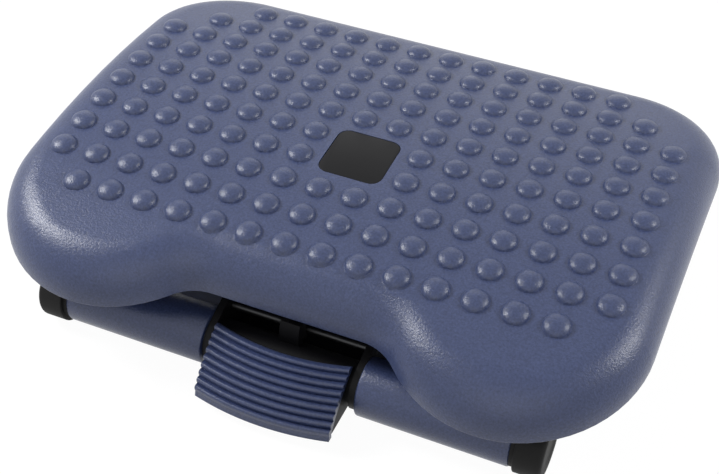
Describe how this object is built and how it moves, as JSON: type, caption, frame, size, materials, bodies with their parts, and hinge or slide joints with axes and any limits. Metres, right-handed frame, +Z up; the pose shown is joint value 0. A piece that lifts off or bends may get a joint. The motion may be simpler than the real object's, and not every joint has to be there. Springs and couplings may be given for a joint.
{
  "type": "footrest",
  "caption": "Low under-desk footrest with a lobed, crowned platform of massage bumps on two foot bars, and a front pedal that frees the platform to rise and tilt.",
  "frame": {"origin": "on the floor, under the middle of the footrest's bounding box", "axes": "+X along the width, +Y from the pedal to the rear edge, +Z up"},
  "size_m": [0.45, 0.342, 0.1124],
  "materials": {
    "slate_plastic": "satin, fine grained",
    "badge_plastic": "satin",
    "black_plastic": "matte",
    "cap_rubber": "matte",
    "friction_plastic": "matte",
    "black_steel": "satin black paint",
    "bare_steel": "drawn"
  },
  "bodies": {
    "base": {"spine_channel": "black_steel", "front_rod": "bare_steel", "rear_rod": "bare_steel", "front_tubes": "slate_plastic", "rear_tubes": "slate_plastic", "end_caps": "cap_rubber", "limit_pin": "bare_steel", "rest_bar": "black_steel", "stop_pads": "cap_rubber", "pedal_spring": "bare_steel"},
    "lift_frame": {"lift_arm_left": "black_steel", "lift_arm_right": "black_steel", "arm_axle": "bare_steel", "brake_quadrant": "bare_steel", "tilt_axle": "bare_steel"},
    "platform": {"platform_shell": "slate_plastic", "badge_plate": "badge_plastic", "pivot_bracket_left": "black_steel", "pivot_bracket_right": "black_steel", "friction_washers": "friction_plastic"},
    "pedal": {"pedal_tread": "slate_plastic", "pedal_carrier": "black_plastic", "brake_lining": "cap_rubber"}
  },
  "joints": [
    {"name": "lift", "type": "hinge", "parent": "base", "child": "lift_frame", "pos_m": [0, -0.088, 0.038], "axis": [1, 0, 0], "range_deg": [0, 18]},
    {"name": "tilt", "type": "hinge", "parent": "lift_frame", "child": "platform", "pos_m": [0, 0.03, 0.042], "axis": [1, 0, 0], "range_deg": [-18, 0]},
    {"name": "pedal_press", "type": "hinge", "parent": "base", "child": "pedal", "pos_m": [0, -0.123, 0.0215], "axis": [1, 0, 0], "range_deg": [0, 7], "stiffness_Nm_per_rad": 11.5, "springref_deg": -16.62, "deforming": ["pedal_spring"]}
  ]
}
